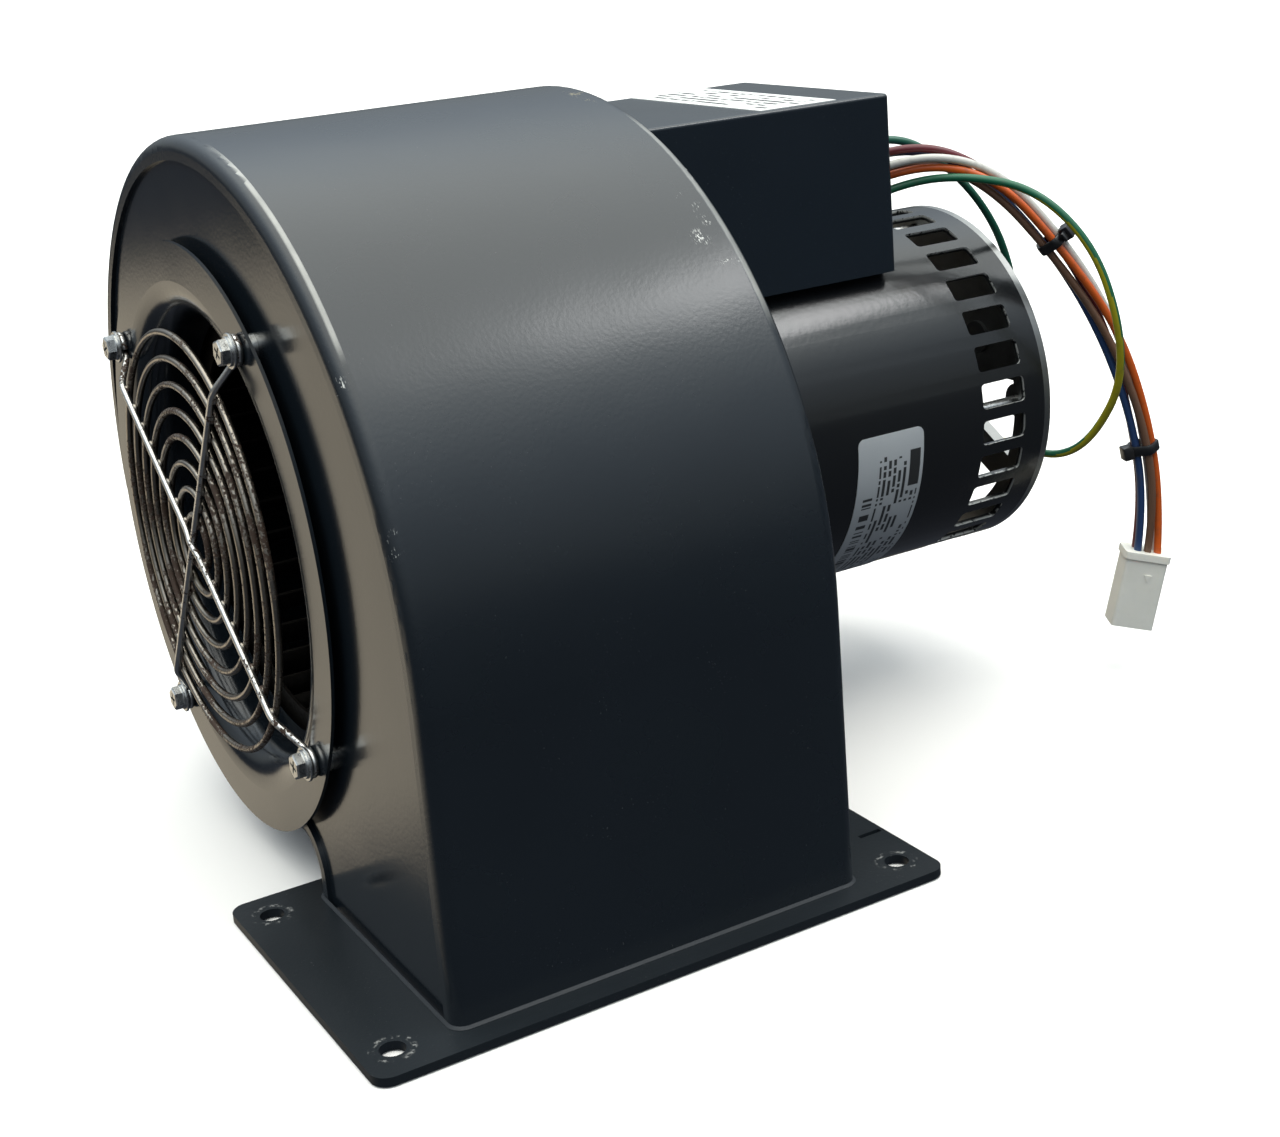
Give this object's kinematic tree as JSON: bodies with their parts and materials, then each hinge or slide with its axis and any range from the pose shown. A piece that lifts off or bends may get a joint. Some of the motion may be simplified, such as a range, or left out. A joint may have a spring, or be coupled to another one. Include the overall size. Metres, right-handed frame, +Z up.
{
  "type": "combustion fan",
  "caption": "Scroll blower with a flanged outlet pointing down, a wire-guarded round inlet, a vented motor with a control box on top, and a wired plug.",
  "frame": {"origin": "middle of the outlet flange's four bolt holes, on the flange's underside", "axes": "+Z up, away from what the flange is bolted to; -Y towards the inlet and +Y towards the motor; +X towards the straight wall of the scroll"},
  "size_m": [0.301, 0.4006, 0.2615],
  "materials": {
    "housing_paint": "satin",
    "box_paint": "satin",
    "foam_rubber": "matte",
    "zinc_plate": "satin",
    "guard_wire": "satin",
    "motor_paint": "gloss",
    "bell_steel": "satin",
    "black_rubber": "matte",
    "lamination_steel": "matte",
    "copper_winding": "gloss",
    "bearing_steel": "polished",
    "label_foil": "satin",
    "label_paper": "matte",
    "capacitor_can": "satin",
    "terminal_moulding": "matte",
    "tie_nylon": "satin",
    "plug_nylon": "satin",
    "contact_brass": "satin",
    "shaft_steel": "satin",
    "cast_aluminium": "cast",
    "fan_moulding": "matte",
    "galvanised_sheet": "satin",
    "white_insulation": "satin",
    "orange_insulation": "satin",
    "tan_insulation": "satin",
    "blue_insulation": "satin",
    "maroon_insulation": "satin",
    "green_insulation": "satin",
    "earth_insulation": "satin"
  },
  "bodies": {
    "housing": {"scroll_wrap": "housing_paint", "inlet_side_plate": "housing_paint", "motor_side_plate": "housing_paint", "base_flange": "housing_paint", "flange_weld": "housing_paint", "outlet_cutoff": "housing_paint", "inlet_ring": "housing_paint", "inlet_seal": "foam_rubber", "inlet_spacers": "zinc_plate", "finger_guard": "guard_wire", "guard_screws": "zinc_plate", "guard_nuts": "zinc_plate", "motor_gasket": "foam_rubber", "motor_screws": "zinc_plate", "motor_shell": "motor_paint", "front_end_bell": "bell_steel", "rear_end_bell": "bell_steel", "motor_lead_bush": "black_rubber", "stator_core": "lamination_steel", "stator_windings": "copper_winding", "through_bolts": "zinc_plate", "front_bearing": "bearing_steel", "rear_bearing": "bearing_steel", "preload_spring": "bearing_steel", "motor_nameplate": "label_foil", "control_box": "box_paint", "control_box_lid": "box_paint", "lid_screws": "zinc_plate", "box_label": "label_paper", "box_gasket": "foam_rubber", "box_screws": "zinc_plate", "wire_grommet": "black_rubber", "run_capacitor": "capacitor_can", "capacitor_strap": "zinc_plate", "terminal_block": "terminal_moulding", "cable_ties": "tie_nylon", "plug_housing": "plug_nylon", "plug_contacts": "contact_brass", "earth_terminal": "contact_brass", "earth_screw": "zinc_plate", "white_wire": "white_insulation", "orange_wire": "orange_insulation", "tan_wire": "tan_insulation", "blue_wire": "blue_insulation", "maroon_wire": "maroon_insulation", "green_wire": "green_insulation", "earth_wire": "earth_insulation"},
    "rotor": {"motor_shaft": "shaft_steel", "shaft_clips": "bearing_steel", "bearing_inner_rings": "bearing_steel", "rotor_core": "lamination_steel", "rotor_cage": "cast_aluminium", "cooling_fan": "fan_moulding", "impeller_hub": "shaft_steel", "hub_set_screw": "shaft_steel", "impeller_back_plate": "galvanised_sheet", "impeller_blades": "galvanised_sheet", "impeller_rim": "galvanised_sheet"}
  },
  "joints": [
    {"name": "rotor_spin", "type": "hinge", "parent": "housing", "child": "rotor", "pos_m": [-0.11, 0, 0.12], "axis": [0, 1, 0], "continuous": true}
  ]
}
